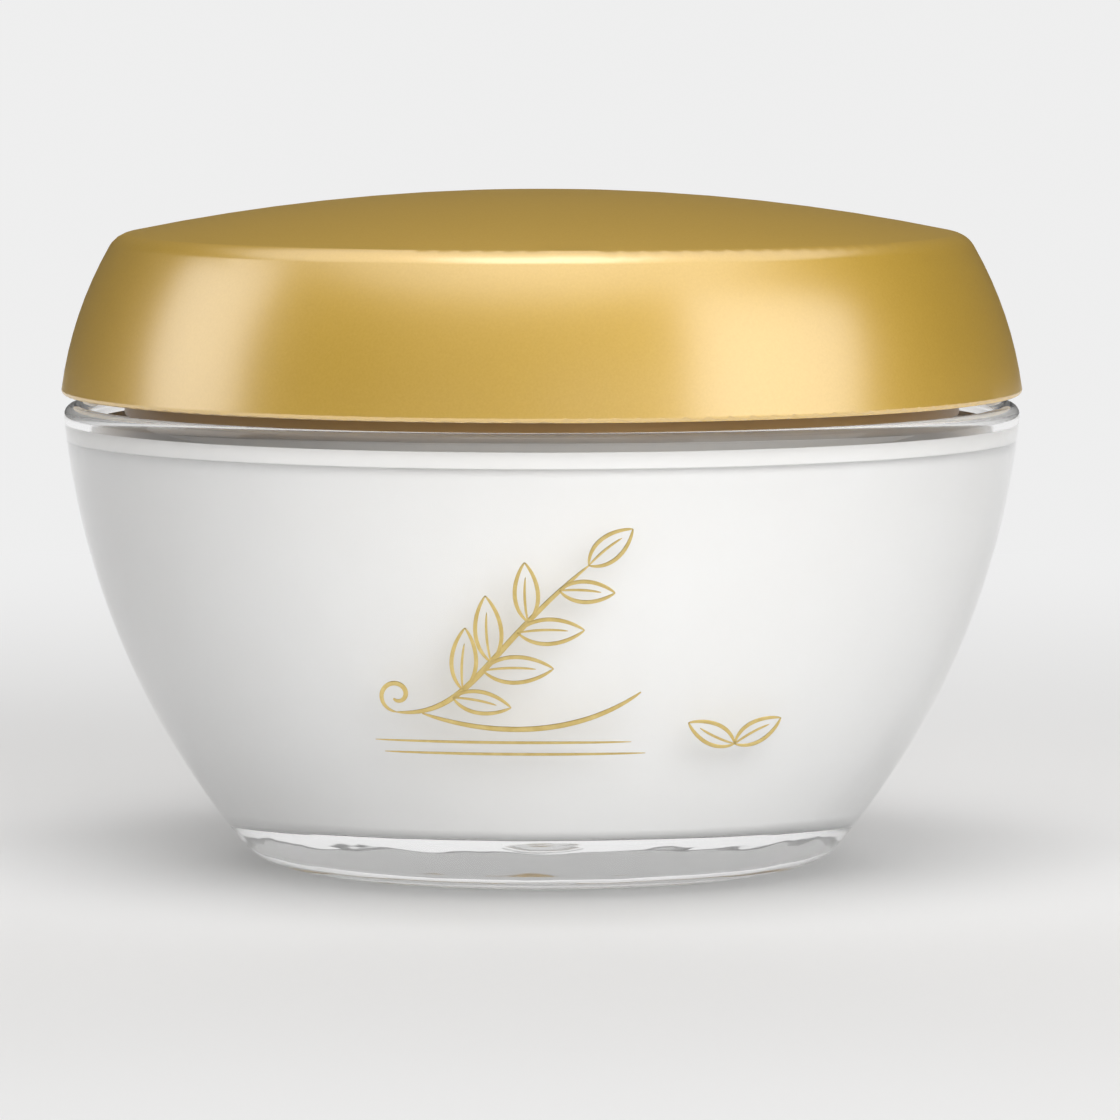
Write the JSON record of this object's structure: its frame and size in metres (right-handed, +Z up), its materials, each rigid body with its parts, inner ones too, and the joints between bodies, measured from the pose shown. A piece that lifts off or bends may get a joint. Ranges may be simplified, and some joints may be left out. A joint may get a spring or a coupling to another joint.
{
  "type": "cosmetic cream jar",
  "caption": "Low round cream jar: clear bowl around a white hanging cup with a threaded neck, plug disc with grip fin, and a domed gold screw lid with insert and foam liner.",
  "frame": {"origin": "centre of the ring that the jar stands on, in the resting plane", "axes": "+Z up along the jar's axis through the lid; X along the grip fin of the plug disc; -Y is the front"},
  "size_m": [0.1058, 0.1058, 0.0739],
  "materials": {
    "clear_acrylic": "clear, polished, coated white on the inside",
    "cup_white": "satin moulded",
    "disc_white": "soft translucent moulded",
    "liner_foam": "closed-cell foam",
    "insert_ochre": "satin moulded",
    "gold_metallised": "satin gold metallised"
  },
  "bodies": {
    "jar": {"outer_bowl": "clear_acrylic", "inner_cup": "cup_white"},
    "seal_disc": {"seal_disc": "disc_white"},
    "liner": {"lid_liner": "liner_foam"},
    "lid": {"lid_insert": "insert_ochre", "lid_shell": "gold_metallised"}
  },
  "joints": [
    {"name": "lid_rise", "type": "slide", "parent": "jar", "child": "liner", "axis": [0, 0, 1], "range_m": [0, 0.06]},
    {"name": "lid_turn", "type": "hinge", "parent": "liner", "child": "lid", "pos_m": [0, 0, 0.055], "axis": [0, 0, 1], "range_deg": [0, 1800]},
    {"name": "disc_lift", "type": "slide", "parent": "jar", "child": "seal_disc", "axis": [0, 0, 1], "range_m": [0, 0.03]}
  ],
  "couplings": [
    {"joint": "lid_rise", "follows": "lid_turn", "m_per_rad": 0.001909},
    {"joint": "disc_lift", "follows": "lid_turn", "m_per_rad": 0.0009545}
  ]
}
